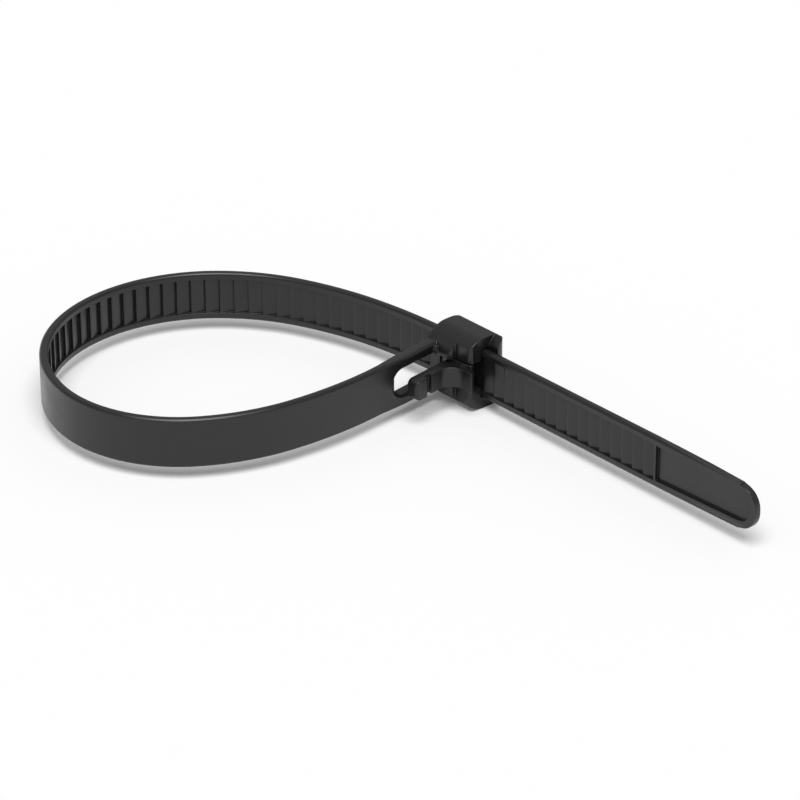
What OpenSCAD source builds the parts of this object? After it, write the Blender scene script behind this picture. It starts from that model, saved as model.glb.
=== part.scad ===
// Releasable cable tie, closed into a loop and standing on its edge.
// One nylon moulding: a toothed strap, a head with a slot, and a pawl with a thumb lever.
// The tail leaves the head along +X and the fixed end of the strap leaves it towards -Y.
// The origin is on the table, under the middle of the slot, where the neck meets the head.

/* [Strap] */
// Width of the strap, which stands upright
strap_w = 7.8; // [6.5:0.1:9]
// Thickness of the strap over its rails
strap_t = 1.3; // [1.1:0.05:1.6]
// Chamfer on the edges of the smooth outer face
outer_chamfer = 0.3; // [0.1:0.05:0.4]
// Chamfer on the edges of the toothed inner face
inner_chamfer = 0.25; // [0.1:0.05:0.3]

/* [Teeth] */
// Distance from one tooth to the next
tooth_pitch = 2.23; // [1.8:0.01:2.6]
// Depth of each pocket at its steep wall, from the face of the rails
tooth_depth = 0.65; // [0.5:0.05:0.75]
// Drop from the rails to the crests of the teeth
crest_drop = 0.2; // [0.1:0.05:0.3]
// Flat crest that is left between two pockets
tooth_land = 0.35; // [0.2:0.05:0.6]
// Width of the plain rail on each side of the teeth
rail_w = 1.05; // [0.9:0.05:1.4]
// Number of pockets along the strap
tooth_count = 80; // [60:1:80]

/* [Loop] */
// Length of the straight neck, from the head to the first bend
neck_len = 12.6; // [12:0.1:16]
// Lean of the neck away from square with the slot, in degrees
neck_angle = 6; // [2:0.5:10]
// Radius of the first, gentle bend of the front run
front_ease_r = 62; // [50:1:80]
// Turn of that bend, in degrees
front_ease_turn = 15; // [10:1:20]
// Radius of the second bend of the front run
front_r = 33; // [28:0.5:40]
// Turn of that bend, in degrees
front_turn = 24; // [18:1:30]
// Radius of the tight bend at the loop's nose
nose_r = 20; // [17:0.5:23]
// Turn of that bend, in degrees
nose_turn = 66; // [55:1:75]
// Radius of the bend that opens out behind the crown
back_r = 31; // [26:0.5:36]
// Turn of that bend, in degrees
back_turn = 23; // [16:1:30]
// Radius of the gentle bend of the back run
back_ease_r = 57; // [48:1:66]
// Turn of that bend, in degrees
back_ease_turn = 14; // [9:1:19]
// Radius of the last bend before the head
entry_r = 83; // [70:1:100]
// Turn of that bend, in degrees
entry_turn = 10; // [6:1:14]

/* [Tail] */
// Reach of the tail's tip beyond the origin
tail_reach = 62.2; // [55:0.1:80]
// Length of the plain panel between the last tooth and the tip
panel_len = 19.9; // [14:0.1:24]
// Width of the tail at its tip, which narrows along the panel
tip_w = 6.7; // [6.3:0.1:7.4]
// Thickness of the tail at its tip, which thins along the panel
tip_t = 1.05; // [0.95:0.05:1.1]
// Radius of the tip's two corners
tip_r = 3.1; // [2:0.1:3.2]

/* [Head] */
// Wall above and below the slot
head_wall = 1.8; // [1.4:0.1:2.4]
// Wall behind the smooth face of the strap
back_wall = 1.85; // [1.4:0.05:2.2]
// Rounding along the back edges
back_edge_r = 0.7; // [0.3:0.1:1]
// Gap round the strap in the slot
slot_gap = 0.1; // [0.08:0.01:0.2]
// Length of the head from the outer face of the neck to its exit face
head_exit = 6.5; // [6:0.1:8]
// How far the tongue on the back wall runs on past the exit face
tongue_run = 1.9; // [1.7:0.1:2.4]
// Reach of the head's side over the neck
head_side = 4.1; // [3.7:0.1:4.5]
// Radius of the head's round shoulders
shoulder_r = 3.9; // [3:0.1:4]
// Length of the cheeks that brace the head on the neck
cheek_len = 3.3; // [2.8:0.1:4]
// How far the walls beyond the cheeks are set back
cheek_step = 1.2; // [0.8:0.1:1.6]
// Height of the chamber between the walls, where the pawl swings
chamber_h = 4.4; // [4.2:0.1:5]
// Radius of the upright corners of the walls
corner_r = 0.7; // [0.4:0.1:1]
// Radius of the upright corners of the back wall
back_corner_r = 1.6; // [0.8:0.1:1.7]
// Drop of the tongue's sloping top from the back to the strap
tongue_slope = 1.3; // [0.8:0.1:1.6]
// Rounding of the tongue's upper end
tongue_end_r = 1; // [0.6:0.1:1.4]

/* [Neck] */
// Thickness of the neck beside the head
neck_t = 2; // [1.7:0.1:2.4]
// Length of the neck that keeps this thickness
neck_thick_len = 7.5; // [6:0.5:9]
// Height of the window under the lever
window_h = 4.2; // [3.8:0.1:4.3]
// Length of the window from the head's side to its round end
window_len = 10; // [9.4:0.1:10.4]
// Bevel round the window on the lever's side
window_bevel = 0.4; // [0.2:0.05:0.4]
// Radius of the fillet between the neck and the cheeks
cheek_fillet = 0.6; // [0.3:0.1:1.2]

/* [Pawl and lever] */
// Thickness of the living hinge at the pawl's root
hinge_t = 0.8; // [0.5:0.05:1]
// Thickness of the lever's blade
blade_t = 1.65; // [1.3:0.05:1.9]
// Gap between the blade and the neck, which is the lever's travel
lever_gap = 1.75; // [1.4:0.05:2]
// Height of the lever, which passes through the window
lever_h = 3.2; // [2.8:0.1:3.5]
// Length of the blade along the neck
blade_len = 9.1; // [8.5:0.1:9.2]
// Radius of the thumb rest between the heel and the blade
thumb_r = 2.3; // [1.6:0.1:2.6]
// How far the heel runs out past the exit face
heel_run = 1.35; // [0.8:0.05:1.8]
// Rise of the rib at the lever's end above the blade
rib_rise = 0.25; // [0.1:0.05:0.5]
// Length of that rib
rib_len = 2.3; // [1.6:0.1:2.6]
// Radius of the upper and lower corners at the lever's end
lever_end_r = 0.9; // [0.4:0.1:1.2]
// Radius of the outer edge at the lever's end
lever_corner_r = 0.5; // [0.2:0.1:0.8]

/* [Hidden] */
$fn = 96;
nylon_black = "#3c3d40";

// Overlap between bodies of the moulding, and the overshoot of cutters
lap = 0.2;
over = 2;
hair = 0.01;

// Length over which the neck blends into the strap
neck_blend = 3;

// Levels above the table
head_h = strap_w + 2 * (head_wall + slot_gap);
mid_z = head_h / 2;
strap_z = mid_z - strap_w / 2;

// Plan of the slot and the head
half_t = strap_t / 2;
slot_half = half_t + slot_gap;
back_y = slot_half + back_wall;
entry_x = -neck_t;
tongue_exit = head_exit + tongue_run;
slope_run = back_wall - back_edge_r;
step_y = -head_side + cheek_step;
cheek_chamfer = 0.6;

// Pose of the neck: its outer face meets the head at (0, -neck_y)
neck_y = 3;
neck_heading = neck_angle - 90;
neck_mid = -neck_t / 2;

// The crown is the bend that closes the loop. Its turn brings the strap square to the slot,
// and its radius brings the strap's middle onto the slot's middle.
before_turn = front_ease_turn + front_turn + nose_turn;
after_turn = back_turn + back_ease_turn + entry_turn;
crown_start = neck_heading - before_turn;
crown_end = after_turn - 360;
crown_turn = crown_start - crown_end;

function rise(r, from, to) = r * (cos(to) - cos(from));
neck_drop = neck_y - neck_mid * sin(neck_angle) + neck_len * cos(neck_angle);
front_rise = rise(front_ease_r, neck_heading, neck_heading - front_ease_turn)
    + rise(front_r, neck_heading - front_ease_turn, crown_start + nose_turn)
    + rise(nose_r, crown_start + nose_turn, crown_start);
back_rise = rise(back_r, crown_end, crown_end - back_turn)
    + rise(back_ease_r, crown_end - back_turn, entry_turn - 360)
    + rise(entry_r, entry_turn - 360, -360);
crown_r = (neck_drop - front_rise - back_rise) / (cos(crown_end) - cos(crown_start));

// The bends in order from the neck: radius and turn. Each one turns to the right.
BENDS = [
    [front_ease_r, front_ease_turn],
    [front_r, front_turn],
    [nose_r, nose_turn],
    [crown_r, crown_turn],
    [back_r, back_turn],
    [back_ease_r, back_ease_turn],
    [entry_r, entry_turn],
];
last_bend = len(BENDS);

// A pose is [x, y, heading] of the strap's middle line, seen from above
function ahead(pose, d) = [pose[0] + d * cos(pose[2]), pose[1] + d * sin(pose[2]), pose[2]];
function beside(pose, d) = [pose[0] - d * sin(pose[2]), pose[1] + d * cos(pose[2])];
function round_bend(pose, r, turn) =
    let (centre = beside(pose, -r), out = pose[2] - turn)
    [centre[0] - r * sin(out), centre[1] + r * cos(out), out];
neck_root = [0, -neck_y, neck_heading];
neck_start = concat(beside(neck_root, neck_mid), neck_heading);
function bend_pose(i) = i == 0
    ? ahead(neck_start, neck_len)
    : round_bend(bend_pose(i - 1), BENDS[i - 1][0], BENDS[i - 1][1]);
POSES = [for (i = [0 : last_bend]) bend_pose(i)];
function bend_len(i) = BENDS[i][0] * BENDS[i][1] * PI / 180;

// Pose at a distance back along the strap, counted from where the last bend ends
function pose_back(d, i = last_bend) =
    i < 0 ? ahead(POSES[0], -d)
    : i == last_bend && d <= 0 ? ahead(POSES[last_bend], -d)
    : i == last_bend ? pose_back(d, i - 1)
    : d <= bend_len(i)
        ? round_bend(POSES[i], BENDS[i][0], BENDS[i][1] * (1 - d / bend_len(i)))
        : pose_back(d - bend_len(i), i - 1);

// Teeth are counted back from the tail. Each pocket ends in a steep wall that faces the neck.
tail_start = POSES[last_bend][0];
teeth_end = tail_reach - panel_len;
ramp_len = tooth_pitch - tooth_land;
tooth_zone = strap_w - 2 * rail_w;
ramp_slope = ramp_len / (tooth_depth - crest_drop);
crest_over = 0.1;
function wall_x(k) = teeth_end - k * tooth_pitch;
function pocket(k) =
    let (deep = pose_back(tail_start - wall_x(k)),
         past = pose_back(tail_start - wall_x(k) + ramp_len + ramp_slope * crest_over))
    [beside(deep, -half_t - over), beside(deep, tooth_depth - half_t),
     beside(past, crest_drop - crest_over - half_t)];

// The tail's panel
panel_depth = 0.5;
rim_w = 1.1;
ridge_w = 0.4;
tip_taper = (strap_w - tip_w) / 2;

// The pawl. Its teeth lie in the strap's pockets with a small gap.
chamber_half = chamber_h / 2;
pawl_gap = 0.15;
pawl_h = chamber_h - 2 * pawl_gap;
rack_h = min(pawl_h, tooth_zone - 2 * pawl_gap);
pawl_front = -half_t - 0.4;
pawl_back = -3.3;
pawl_start = 0.9;
pawl_nose = [head_exit, -2.3];
pawl_nose_t = 0.5;
rack_end = 4.9;
hinge_y = -2.3;
root_web = 0.4;

// The lever: a heel along the pawl's back, and a blade over the neck
heel_y = [-3.9, -2.9];
heel_start = 2.4;
heel_tip = 0.5;
blade_face = lever_gap + blade_t;
groove_len = 1.2;
groove_depth = 0.6;
rib_start = blade_len - rib_len;

// Cross-section of the strap: outer face at +half_t, inner face with its rails at -half_t
module strap_section() {
    polygon([
        [-half_t + inner_chamfer, 0],
        [half_t - outer_chamfer, 0],
        [half_t, outer_chamfer],
        [half_t, strap_w - outer_chamfer],
        [half_t - outer_chamfer, strap_w],
        [-half_t + inner_chamfer, strap_w],
        [-half_t, strap_w - inner_chamfer],
        [-half_t, inner_chamfer],
    ]);
}

// The same section where it has teeth: the crests lie a little below the rails
module toothed_section() {
    difference() {
        strap_section();
        translate([-half_t - over, rail_w]) square([over + crest_drop, tooth_zone]);
    }
}

// Moves to the nearest thousandth and then by the tiny rest, so that neighbours meet exactly
module exactly_at(point) {
    near = [for (v = point) round(v * 1000) / 1000];
    translate(near) translate(point - near) children();
}

module at_pose(pose) {
    translate([pose[0], pose[1], 0]) rotate(pose[2]) children();
}

// One bend of the strap, swept about its own centre. The first one starts inside the neck.
module bend(i) {
    r = BENDS[i][0];
    turn = BENDS[i][1];
    root_turn = i == 0 ? neck_blend / r * 180 / PI : 0;
    exactly_at(concat(beside(POSES[i], -r), strap_z))
        rotate_extrude(start = POSES[i][2] + 90 - turn, angle = turn + root_turn, $fn = 360)
            exactly_at([r, 0])
                toothed_section();
}

// Straight toothed run from the last bend through the slot, and the plain tail beyond it
module straight_run() {
    exactly_at([tail_start, 0, strap_z])
        rotate([90, 0, 90])
            linear_extrude(head_exit - tail_start)
                toothed_section();
    translate([0, 0, strap_z])
        rotate([90, 0, 90])
            linear_extrude(teeth_end)
                toothed_section();
    translate([teeth_end, 0, strap_z])
        rotate([90, 0, 90])
            linear_extrude(panel_len)
                strap_section();
}

// Pockets between the rails. They are cut from the inner face all along the strap.
module pockets() {
    translate([0, 0, mid_z - tooth_zone / 2])
        linear_extrude(tooth_zone)
            for (k = [0 : tooth_count - 1])
                polygon(pocket(k));
}

// Side view of the tail's panel, from a start beyond the last tooth to its round tip
module panel_outline(inset, start) {
    lo = inset;
    hi = strap_w - inset;
    r = tip_r - inset;
    end = panel_len - inset;
    difference() {
        polygon([
            [start, lo],
            [end, lo + tip_taper],
            [end, hi - tip_taper],
            [start, hi],
        ]);
        for (side = [0, 1])
            translate([0, side * strap_w])
                mirror([0, side])
                    translate([end - r, lo + tip_taper + r])
                        difference() {
                            translate([0, -r - over]) square([r + over, r + over]);
                            circle(r);
                        }
    }
}

// What is cut from the tail: it narrows and thins to a round tip, and a rim frames its floor
module tail_cuts() {
    thinning = (strap_t - tip_t) * (panel_len + over) / panel_len;
    translate([teeth_end, 0, strap_z]) {
        rotate([90, 0, 0])
            translate([0, 0, -half_t - over])
                linear_extrude(strap_t + 2 * over)
                    difference() {
                        translate([0, -over]) square([panel_len + over, strap_w + 2 * over]);
                        panel_outline(0, 0);
                    }
        translate([0, 0, -over])
            linear_extrude(strap_w + 2 * over)
                polygon([
                    [0, half_t],
                    [panel_len + over, half_t - thinning],
                    [panel_len + over, half_t + over],
                    [0, half_t + over],
                ]);
        rotate([90, 0, 0])
            translate([0, 0, half_t - panel_depth])
                linear_extrude(panel_depth + over)
                    panel_outline(rim_w, ridge_w);
    }
}

// What is cut along the neck's edges, so that the strap's chamfers run on beside the head.
// One cut follows the thick length and one follows the taper.
module neck_edge_cuts(chamfer, taper_turn) {
    reach = chamfer + over;
    for (side = [0, 1])
        translate([0, 0, side * strap_w])
            mirror([0, 0, side])
                for (run = [[0, 0], [neck_thick_len, -taper_turn]])
                    translate([run[0], 0, 0])
                        rotate([90, 0, 90 + run[1]])
                            translate([0, 0, -lap])
                                linear_extrude(neck_len + neck_blend)
                                    polygon([
                                        [-reach, -over],
                                        [over, reach],
                                        [over, -over],
                                    ]);
}

// Neck: thick beside the head, then tapering on all sides into the strap
module neck_body() {
    taper = (neck_t / 2 - half_t) / (neck_len - neck_thick_len);
    blend_start = neck_len - neck_blend / 2;
    end = neck_len + neck_blend / 2;
    end_half = half_t - taper * neck_blend / 2;
    taper_turn = atan(taper);
    translate([0, 0, strap_z])
        at_pose(neck_root)
            difference() {
                intersection() {
                    linear_extrude(strap_w)
                        polygon([
                            [0, 0],
                            [0, -neck_t],
                            [neck_thick_len, -neck_t],
                            [end, neck_mid - end_half],
                            [end, neck_mid + end_half],
                            [neck_thick_len, 0],
                        ]);
                    rotate([90, 0, 0])
                        linear_extrude(neck_t)
                            polygon([
                                [0, 0],
                                [blend_start, 0],
                                [end, 3 * outer_chamfer],
                                [end, strap_w - 3 * outer_chamfer],
                                [blend_start, strap_w],
                                [0, strap_w],
                            ]);
                }
                neck_edge_cuts(outer_chamfer, taper_turn);
                translate([0, -neck_t, 0])
                    mirror([0, 1, 0])
                        neck_edge_cuts(inner_chamfer, taper_turn);
            }
}

// Window through the neck, with a full round end and a bevel, which lets the lever sink in
module window() {
    r = window_h / 2;
    edge = window_bevel + crest_over;
    translate([0, 0, mid_z])
        at_pose(neck_root) {
            rotate([90, 0, 0])
                translate([0, 0, -over])
                    linear_extrude(neck_t + 2 * over) {
                        translate([0, -r]) square([window_len - r, window_h]);
                        translate([window_len - r, 0]) circle(r);
                    }
            rotate([90, 0, 90])
                linear_extrude(window_len - r)
                    polygon([
                        [-window_bevel, -r],
                        [crest_over, -r - edge],
                        [crest_over, r + edge],
                        [-window_bevel, r],
                    ]);
            translate([window_len - r, -window_bevel, 0])
                rotate([-90, 0, 0])
                    cylinder(h = edge, r1 = r, r2 = r + edge);
        }
}

// Plan of a concave fillet between a face at a given y and a face beside the neck.
// It is sunk into that face by a hair.
module neck_fillet(face_y, face_u, r) {
    centre_y = face_y - r;
    centre_x = (face_u + r - hair - (centre_y + neck_y) * sin(neck_angle)) / cos(neck_angle);
    reach = r + lap;
    difference() {
        polygon([
            [centre_x, face_y + lap],
            [centre_x, centre_y],
            [centre_x - reach * cos(neck_angle), centre_y - reach * sin(neck_angle)],
            [centre_x - reach, face_y + lap],
        ]);
        translate([centre_x, centre_y]) circle(r);
    }
}

// What a round corner removes from a square one that points to +X and +Y
module corner_cut(r) {
    difference() {
        translate([-r, -r]) square(r + over);
        translate([-r, -r]) circle(r);
    }
}

// End view of the head: small rounding at the back wall, and round shoulders over the neck
module head_end_view() {
    difference() {
        translate([-head_side, 0]) square([head_side + back_y, head_h]);
        for (side = [0, 1])
            translate([0, side * head_h])
                mirror([0, side]) {
                    translate([-head_side, 0]) rotate(180) corner_cut(shoulder_r);
                    translate([back_y, 0]) rotate(-90) corner_cut(back_edge_r);
                }
    }
}

// Plan of the head: cheeks on the neck, and walls that are set back from them
module head_plan() {
    difference() {
        polygon([
            [entry_x, -head_side],
            [cheek_len - cheek_chamfer, -head_side],
            [cheek_len, -head_side + cheek_chamfer],
            [cheek_len, step_y],
            [head_exit, step_y],
            [head_exit, back_y],
            [entry_x, back_y],
        ]);
        translate([head_exit, step_y]) rotate(-90) corner_cut(corner_r);
        translate([entry_x, back_y]) rotate(90) corner_cut(back_corner_r);
    }
}

// Tongue: it carries the back wall on past the exit face, and its top slopes to the strap
module tongue() {
    difference() {
        translate([0, 0, strap_z])
            linear_extrude(head_h - strap_z)
                difference() {
                    translate([head_exit - lap, slot_half]) square([tongue_run + lap, back_wall]);
                    translate([tongue_exit, back_y]) corner_cut(back_corner_r);
                }
        translate([head_exit, 0, head_h])
            rotate([90, 0, 90])
                linear_extrude(tongue_run + over)
                    polygon([
                        [slot_half - over, -tongue_slope - over * tongue_slope / slope_run],
                        [slot_half + slope_run + over, over * tongue_slope / slope_run],
                        [slot_half - over, over],
                    ]);
        translate([tongue_exit, back_y + over, head_h])
            rotate([90, 0, 0])
                linear_extrude(back_wall + 2 * over)
                    corner_cut(tongue_end_r);
    }
}

// Head: the slot runs right through, and the pawl's chamber opens at the exit and over the neck
module head_body() {
    difference() {
        intersection() {
            translate([entry_x - over, 0, 0])
                rotate([90, 0, 90])
                    linear_extrude(tongue_exit - entry_x + 2 * over)
                        head_end_view();
            union() {
                linear_extrude(head_h) head_plan();
                tongue();
            }
        }
        translate([entry_x - over, -slot_half, strap_z - slot_gap])
            cube([tongue_exit - entry_x + 2 * over, 2 * slot_half, strap_w + 2 * slot_gap]);
        translate([0, -head_side - over, mid_z - chamber_half])
            cube([tongue_exit + over, head_side + over, chamber_h]);
    }
    for (z = [strap_z + outer_chamfer, mid_z + chamber_half])
        translate([0, 0, z])
            linear_extrude(strap_w / 2 - chamber_half - outer_chamfer)
                neck_fillet(-head_side, 0, cheek_fillet);
}

// Pawl: a plate on a thin living hinge
module pawl() {
    translate([0, 0, mid_z - pawl_h / 2])
        linear_extrude(pawl_h) {
            translate([-lap, hinge_y - hinge_t / 2]) square([pawl_start + 2 * lap, hinge_t]);
            polygon([
                [pawl_start, hinge_y + hinge_t / 2],
                [pawl_start + root_web, pawl_front],
                [rack_end, pawl_front],
                pawl_nose,
                [pawl_nose[0], pawl_nose[1] - pawl_nose_t],
                [rack_end, pawl_back],
                [pawl_start + root_web, pawl_back],
                [pawl_start, hinge_y - hinge_t / 2],
            ]);
        }
}

// The pawl's rack, with a tooth in each pocket that stands over the pawl
module pawl_rack() {
    rack_start = pawl_start + root_web;
    tip_y = tooth_depth - half_t - pawl_gap;
    root_y = pawl_front - lap;
    translate([0, 0, mid_z - rack_h / 2])
        linear_extrude(rack_h)
            intersection() {
                for (k = [0 : tooth_count - 1])
                    if (wall_x(k) > rack_start && wall_x(k) < rack_end + tooth_pitch)
                        polygon([
                            [wall_x(k) - slot_gap, root_y],
                            [wall_x(k) - slot_gap, tip_y],
                            [wall_x(k) - slot_gap - (tip_y - root_y) * ramp_slope, root_y],
                        ]);
                translate([rack_start, root_y]) square([rack_end - rack_start, tip_y - root_y]);
            }
}

// Lever: heel, concave thumb rest, and a blade that ends in a groove and a rib
module lever() {
    heel_end = head_exit + heel_run;
    difference() {
        translate([0, 0, mid_z - lever_h / 2])
            linear_extrude(lever_h) {
                polygon([
                    [heel_start, heel_y[1]],
                    [head_exit - heel_tip, heel_y[1]],
                    [heel_end, heel_y[0] + heel_tip],
                    [heel_end, heel_y[0]],
                    [heel_start, heel_y[0]],
                ]);
                at_pose(neck_root)
                    difference() {
                        polygon([
                            [-lap, lever_gap],
                            [blade_len, lever_gap],
                            [blade_len, blade_face + rib_rise],
                            [rib_start, blade_face + rib_rise],
                            [rib_start, blade_face - groove_depth],
                            [rib_start - groove_len, blade_face - groove_depth],
                            [rib_start - groove_len, blade_face],
                            [-lap, blade_face],
                        ]);
                        translate([blade_len, blade_face + rib_rise]) corner_cut(lever_corner_r);
                    }
                neck_fillet(heel_y[0], blade_face, thumb_r);
            }
        translate([0, 0, mid_z])
            at_pose(neck_root)
                rotate([90, 0, 0])
                    translate([0, 0, -blade_face - over])
                        linear_extrude(blade_t + 2 * over)
                            for (side = [0, 1])
                                mirror([0, side])
                                    translate([blade_len, lever_h / 2])
                                        corner_cut(lever_end_r);
    }
}

// Strap from the neck's end round to the tail's tip
module strap() {
    difference() {
        union() {
            for (i = [0 : last_bend - 1])
                bend(i);
            straight_run();
        }
        pockets();
        tail_cuts();
    }
}

module cable_tie() {
    color(nylon_black)
        union() {
            strap();
            difference() {
                union() {
                    head_body();
                    neck_body();
                }
                window();
            }
            pawl();
            pawl_rack();
            lever();
        }
}

cable_tie();
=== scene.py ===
import math

import bmesh
import bpy
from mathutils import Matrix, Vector
from mathutils.bvhtree import BVHTree
from mathutils.geometry import intersect_point_line


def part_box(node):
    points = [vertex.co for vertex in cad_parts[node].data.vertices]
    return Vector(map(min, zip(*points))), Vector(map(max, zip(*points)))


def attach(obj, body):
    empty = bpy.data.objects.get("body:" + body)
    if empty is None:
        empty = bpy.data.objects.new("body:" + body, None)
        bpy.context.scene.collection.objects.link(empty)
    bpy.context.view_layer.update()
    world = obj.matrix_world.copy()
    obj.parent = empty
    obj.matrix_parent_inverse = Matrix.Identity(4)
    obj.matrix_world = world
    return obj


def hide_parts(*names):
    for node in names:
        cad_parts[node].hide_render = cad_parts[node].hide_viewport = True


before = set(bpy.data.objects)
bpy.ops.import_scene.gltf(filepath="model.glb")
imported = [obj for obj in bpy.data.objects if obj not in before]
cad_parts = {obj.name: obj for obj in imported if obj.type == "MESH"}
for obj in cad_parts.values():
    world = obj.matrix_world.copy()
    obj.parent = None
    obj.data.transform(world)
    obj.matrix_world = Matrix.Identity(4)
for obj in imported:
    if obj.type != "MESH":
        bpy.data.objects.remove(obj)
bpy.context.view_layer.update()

MM = 0.001

# Camera. It stands at the photograph's viewing angle with a long lens,
# so the two runs of the loop keep the shapes they have there.
camera_at = Vector((398.6, -365.4, 286.9)) * MM
camera_aim = Vector((-0.9, -10.1, 1.9)) * MM

camera_data = bpy.data.cameras.new("camera")
camera_data.lens = 185.3
camera_data.sensor_width = 36.0
camera = bpy.data.objects.new("camera", camera_data)
camera.location = camera_at
camera.rotation_euler = (camera_aim - camera_at).to_track_quat("-Z", "Y").to_euler()
bpy.context.scene.collection.objects.link(camera)
bpy.context.scene.camera = camera


# Moulding. The whole tie is one piece of black nylon 6/6 from a polished steel mould:
# strap, teeth, head, pawl and lever. A mould cuts no knife edges, so nearly every edge
# of this copy is rounded by about a tenth of a millimetre and catches the light.

# Roundings: turns are the degrees between the two faces of an edge
EDGE_RADIUS = 0.11 * MM
EDGE_STEPS = 2
FINE_SHARE = 0.4
SHARP_TURN = 25
SLIGHT_TURN = 1.5
WIDE_FLAT = 0.8 * MM

# Joining: what is one point, one flat face, or too small to be rounded
SAME_POINT = 1e-7
FLAT_TURN = 1.0
LEVEL_TURN = 6
SHORTEST_EDGE = 0.03 * MM
NARROWEST_FACE = 0.09 * MM
JOIN_PASSES = 3
ROOM_NEEDED = 0.05 * MM

# Faults: how far a rounding may leave the CAD surface, and when a face counts as turned over
DEEPEST_ROUNDING = 0.06 * MM
SMALLEST_FOLD = 0.002 * MM ** 2
TURNED_OVER = -0.2
FOLD_REACH = 0.15 * MM
FOLD_PASSES = 4

# Places: the teeth's band on the strap, and where the head, the neck and the tail lie
MID_HEIGHT = 5.8 * MM
TEETH_HALF_HEIGHT = 2.95 * MM
HEAD_LEFT = -3 * MM
NECK_FOOT = -14 * MM
TAIL_START = 8.5 * MM
NECK_END = (-16.6 * MM, -13.6 * MM)
NECK_END_HALF_WIDTH = 1.6 * MM


def linear_colour(hex_text):
    """Turns an sRGB colour such as 2a2b2d into linear RGBA."""
    channels = [int(hex_text[i:i + 2], 16) / 255 for i in (0, 2, 4)]
    linear = [c / 12.92 if c <= 0.04045 else ((c + 0.055) / 1.055) ** 2.4 for c in channels]
    return (*linear, 1.0)


def add_node(tree, kind, inputs=None, **settings):
    """Adds a node, sets its properties and inputs, and links each input that is given a socket."""
    node = tree.nodes.new(kind)
    for name, value in settings.items():
        setattr(node, name, value)
    for name, value in (inputs or {}).items():
        if isinstance(value, bpy.types.NodeSocket):
            tree.links.new(value, node.inputs[name])
        else:
            node.inputs[name].default_value = value
    return node


def new_material(name):
    """Makes an empty node material and returns it with its tree and its output node."""
    material = bpy.data.materials.new(name)
    material.use_nodes = True
    tree = material.node_tree
    tree.nodes.clear()
    output = tree.nodes.new("ShaderNodeOutputMaterial")
    return material, tree, output


def moulded_nylon():
    """Black nylon 6/6 as it leaves a polished mould: a soft gloss, uneven where the melt flowed."""
    material, tree, output = new_material("moulded_nylon_66_black")
    place = add_node(tree, "ShaderNodeTexCoord").outputs["Object"]
    # Flow marks and slight sink, some 6 mm across, move the gloss a little
    flow = add_node(tree, "ShaderNodeTexNoise", {
        "Vector": place, "Scale": 170.0, "Detail": 2.0, "Roughness": 0.5,
    })
    # The fine skin of the mould steel, drawn at 0.25 mm so that it shows at all
    skin = add_node(tree, "ShaderNodeTexNoise", {
        "Vector": place, "Scale": 4000.0, "Detail": 2.0, "Roughness": 0.6,
    })
    gloss = add_node(tree, "ShaderNodeMapRange", {
        "Value": flow.outputs["Fac"],
        "From Min": 0.3, "From Max": 0.7, "To Min": 0.27, "To Max": 0.37,
    })
    skin_bump = add_node(tree, "ShaderNodeBump", {
        "Height": skin.outputs["Fac"], "Strength": 0.12, "Distance": 0.02 * MM,
    })
    flow_bump = add_node(tree, "ShaderNodeBump", {
        "Height": flow.outputs["Fac"], "Strength": 0.25, "Distance": 0.06 * MM,
        "Normal": skin_bump.outputs["Normal"],
    })
    shader = add_node(tree, "ShaderNodeBsdfPrincipled", {
        "Base Color": linear_colour("18181a"),
        "Roughness": gloss.outputs["Result"],
        "IOR": 1.53,
        "Normal": flow_bump.outputs["Normal"],
    })
    tree.links.new(shader.outputs["BSDF"], output.inputs["Surface"])
    return material


def on_loop(edge):
    """True for an edge on the loop itself, away from the head and the neck."""
    return all(v.co.x < HEAD_LEFT or v.co.y < NECK_FOOT for v in edge.verts)


def on_strap(edge):
    """True for an edge on the loop or on the tail."""
    return all(
        v.co.x < HEAD_LEFT or v.co.y < NECK_FOOT or v.co.x > TAIL_START for v in edge.verts
    )


def at_neck_end(edge):
    """True for an edge where the neck runs out into the strap."""
    return all(
        abs(v.co.x) < NECK_END_HALF_WIDTH and NECK_END[0] < v.co.y < NECK_END[1]
        for v in edge.verts
    )


def in_teeth(edge):
    """True for an edge of the teeth on the loop or on the tail."""
    middle_height = sum(v.co.z for v in edge.verts) / 2
    return on_strap(edge) and abs(middle_height - MID_HEIGHT) < TEETH_HALF_HEIGHT


def crowded(edge):
    """True for an edge that meets a shorter one than a rounding has room for."""
    if on_loop(edge):
        return False
    return any(e.calc_length() < ROOM_NEEDED for v in edge.verts for e in v.link_edges)


def near_fold(edge, folds):
    """True for an edge that passes close by one of the folds."""
    start, end = (v.co for v in edge.verts)
    for fold in folds:
        share = intersect_point_line(fold, start, end)[1]
        closest = start.lerp(end, min(max(share, 0.0), 1.0))
        if (closest - fold).length < FOLD_REACH:
            return True
    return False


def join_narrow_faces(shell):
    """Joins each face that is too narrow to round with a neighbour that is all but level."""
    for face in list(shell.faces):
        if not face.is_valid:
            continue
        width = face.calc_area() / max(edge.calc_length() for edge in face.edges)
        if width > NARROWEST_FACE:
            continue
        level = [
            edge for edge in face.edges
            if edge.is_manifold and not on_loop(edge)
            and edge.calc_face_angle(0) < math.radians(LEVEL_TURN)
        ]
        if level:
            longest = max(level, key=lambda edge: edge.calc_length())
            bmesh.ops.dissolve_edges(shell, edges=[longest], use_verts=False)


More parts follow.
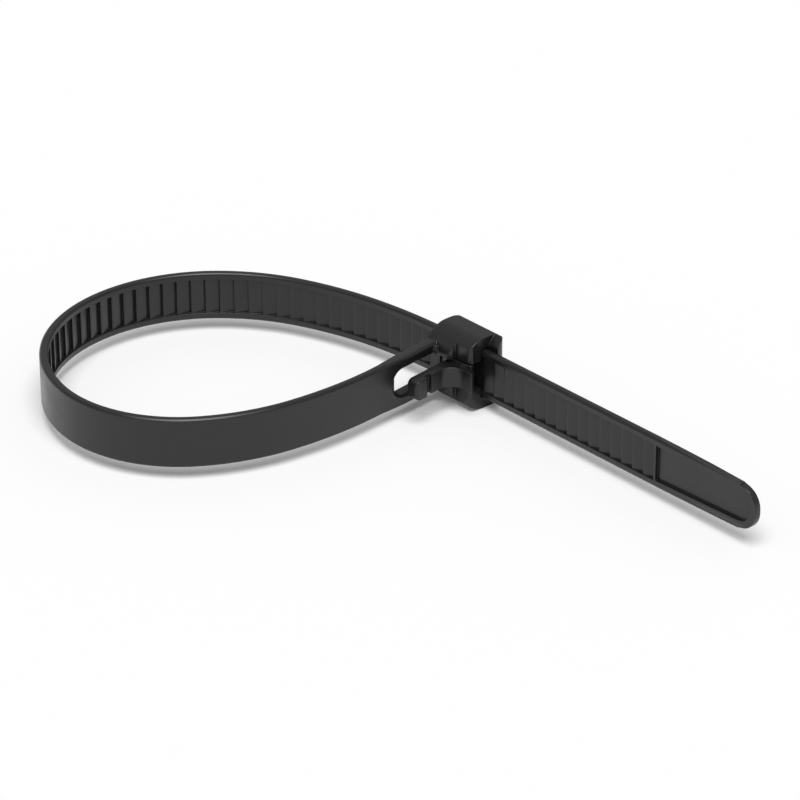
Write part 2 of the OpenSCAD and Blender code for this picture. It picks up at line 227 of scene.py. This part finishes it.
def joined_shell(node):
    """A CAD node's mesh with its flat faces joined, and the CAD surface to measure from."""
    shell = bmesh.new()
    shell.from_mesh(bpy.data.objects[node].data)
    bmesh.ops.remove_doubles(shell, verts=shell.verts, dist=SAME_POINT)
    surface = BVHTree.FromBMesh(shell)
    # A level face that runs all round the loop would be a ring, so there the triangles stay
    joinable = [
        edge for edge in shell.edges
        if not (on_loop(edge) and all(abs(face.normal.z) > 0.9 for face in edge.link_faces))
    ]
    bmesh.ops.dissolve_limit(
        shell, angle_limit=math.radians(FLAT_TURN), verts=[], edges=joinable
    )
    bmesh.ops.dissolve_degenerate(shell, dist=SHORTEST_EDGE, edges=shell.edges)
    for _ in range(JOIN_PASSES):
        join_narrow_faces(shell)
    for face in shell.faces:
        face.smooth = True
    return shell, surface


def weigh_edges(shell, folds):
    """Gives each edge its share of the rounding, and marks as sharp those that get none."""
    # The teeth are crisp, so their edges get a finer radius than the outer edges do.
    # Where two wide flats meet at a slight angle, a fine radius keeps each of them flat.
    # Edges stay sharp where several run together in less room than their radius needs.
    weight = shell.edges.layers.float["bevel_weight_edge"]
    for edge in shell.edges:
        edge[weight] = 0.0
        if not edge.is_manifold:
            continue
        turn = math.degrees(edge.calc_face_angle(0))
        if crowded(edge) or at_neck_end(edge) or near_fold(edge, folds):
            edge.smooth = turn < SHARP_TURN
        elif turn > SHARP_TURN:
            edge[weight] = FINE_SHARE if in_teeth(edge) else 1.0
        elif turn > SLIGHT_TURN and not on_loop(edge):
            widths = [face.calc_area() / edge.calc_length() for face in edge.link_faces]
            if min(widths) > WIDE_FLAT:
                edge[weight] = FINE_SHARE


def add_rounding(piece):
    """Rounds the weighted edges of a piece, and keeps its flats flat to the eye."""
    bevel = piece.modifiers.new("edges", "BEVEL")
    bevel.width = EDGE_RADIUS
    bevel.segments = EDGE_STEPS
    bevel.limit_method = "WEIGHT"
    bevel.use_clamp_overlap = False
    shading = piece.modifiers.new("shading", "WEIGHTED_NORMAL")
    shading.mode = "FACE_AREA"
    shading.weight = 50
    shading.keep_sharp = True


def folds_in(mesh, surface):
    """The places where a rounding has turned a face of the mesh over."""
    folds = []
    for face in mesh.polygons:
        outward = surface.find_nearest(face.center)[1]
        if face.area > SMALLEST_FOLD and face.normal.dot(outward) < TURNED_OVER:
            folds.append(face.center.copy())
    return folds


def rounded_copy(node, name):
    """A copy of a CAD node with its flat faces joined and its edges rounded."""
    shell, surface = joined_shell(node)
    shell.edges.layers.float.new("bevel_weight_edge")
    piece = bpy.data.objects.new(name, bpy.data.meshes.new(name))
    bpy.context.scene.collection.objects.link(piece)
    add_rounding(piece)
    # A rounding that folds over itself is taken back, and the others are tried again
    folds = []
    for _ in range(FOLD_PASSES):
        weigh_edges(shell, folds)
        shell.to_mesh(piece.data)
        evaluated = piece.evaluated_get(bpy.context.evaluated_depsgraph_get())
        finished = bpy.data.meshes.new_from_object(evaluated)
        new_folds = folds_in(finished, surface)
        if not new_folds:
            break
        folds += new_folds
    shell.free()
    piece.modifiers.clear()
    # Where roundings run together at a slight angle, their corner is drawn back to the surface
    low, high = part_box(node)
    for vertex in finished.vertices:
        nearest, _, _, distance = surface.find_nearest(vertex.co)
        if distance > DEEPEST_ROUNDING:
            vertex.co = nearest
        vertex.co = [min(max(c, a), b) for c, a, b in zip(vertex.co, low, high)]
    piece.data = finished
    piece.data.name = name
    return piece


nylon = moulded_nylon()
moulding = rounded_copy("cable_tie", "nylon_moulding")
moulding.data.materials.clear()
moulding.data.materials.append(nylon)
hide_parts("cable_tie")
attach(moulding, "root")


# Floor. A pale, matt studio table that runs off past the edges of the view;
# its own faint glow for the camera keeps the background white.
FLOOR_SIZE = 3.0
FLOOR_GLOW = 0.09


def pale_table():
    """Matt off-white laminate, with a glow that only the camera sees."""
    material, tree, output = new_material("pale_studio_table")
    matt = add_node(tree, "ShaderNodeBsdfDiffuse", {"Color": linear_colour("f4f4f4")})
    seen = add_node(tree, "ShaderNodeLightPath").outputs["Is Camera Ray"]
    glow = add_node(tree, "ShaderNodeEmission", {
        "Color": (FLOOR_GLOW, FLOOR_GLOW, FLOOR_GLOW, 1.0), "Strength": seen,
    })
    both = add_node(tree, "ShaderNodeAddShader")
    tree.links.new(matt.outputs["BSDF"], both.inputs[0])
    tree.links.new(glow.outputs["Emission"], both.inputs[1])
    tree.links.new(both.outputs["Shader"], output.inputs["Surface"])
    return material


bpy.ops.mesh.primitive_plane_add(size=FLOOR_SIZE, location=(0, 0, 0))
floor = bpy.context.object
floor.name = "floor"
floor.data.materials.append(pale_table())


# Light. A pale room lights the tie from all sides, and one wide overhead light, set
# a little to the front, draws the short soft shadows at its foot and the bright lines
# on its edges.
ROOM_LIGHT = 0.25
ROOM_IN_GLOSS = 0.42
OVERHEAD_STRENGTH = 2.55
OVERHEAD_SPREAD = 42
OVERHEAD_PATH = Vector((-0.276, 0.253, -0.927))

world = bpy.data.worlds.new("studio")
world.use_nodes = True
bpy.context.scene.world = world
sky = world.node_tree
ray = add_node(sky, "ShaderNodeLightPath")
seen_directly = add_node(sky, "ShaderNodeMapRange", {
    "Value": ray.outputs["Is Camera Ray"], "To Min": ROOM_LIGHT, "To Max": 1.0,
})
brightness = add_node(sky, "ShaderNodeMath", {
    0: ray.outputs["Is Glossy Ray"],
    1: ROOM_IN_GLOSS - ROOM_LIGHT,
    2: seen_directly.outputs["Result"],
}, operation="MULTIPLY_ADD")
background = sky.nodes["Background"]
background.inputs["Color"].default_value = (1.0, 1.0, 1.0, 1.0)
sky.links.new(brightness.outputs["Value"], background.inputs["Strength"])

overhead_data = bpy.data.lights.new("overhead", "SUN")
overhead_data.energy = OVERHEAD_STRENGTH
overhead_data.angle = math.radians(OVERHEAD_SPREAD)
overhead = bpy.data.objects.new("overhead", overhead_data)
overhead.rotation_euler = OVERHEAD_PATH.to_track_quat("-Z", "Y").to_euler()
bpy.context.scene.collection.objects.link(overhead)

bpy.context.scene.view_settings.view_transform = "Standard"
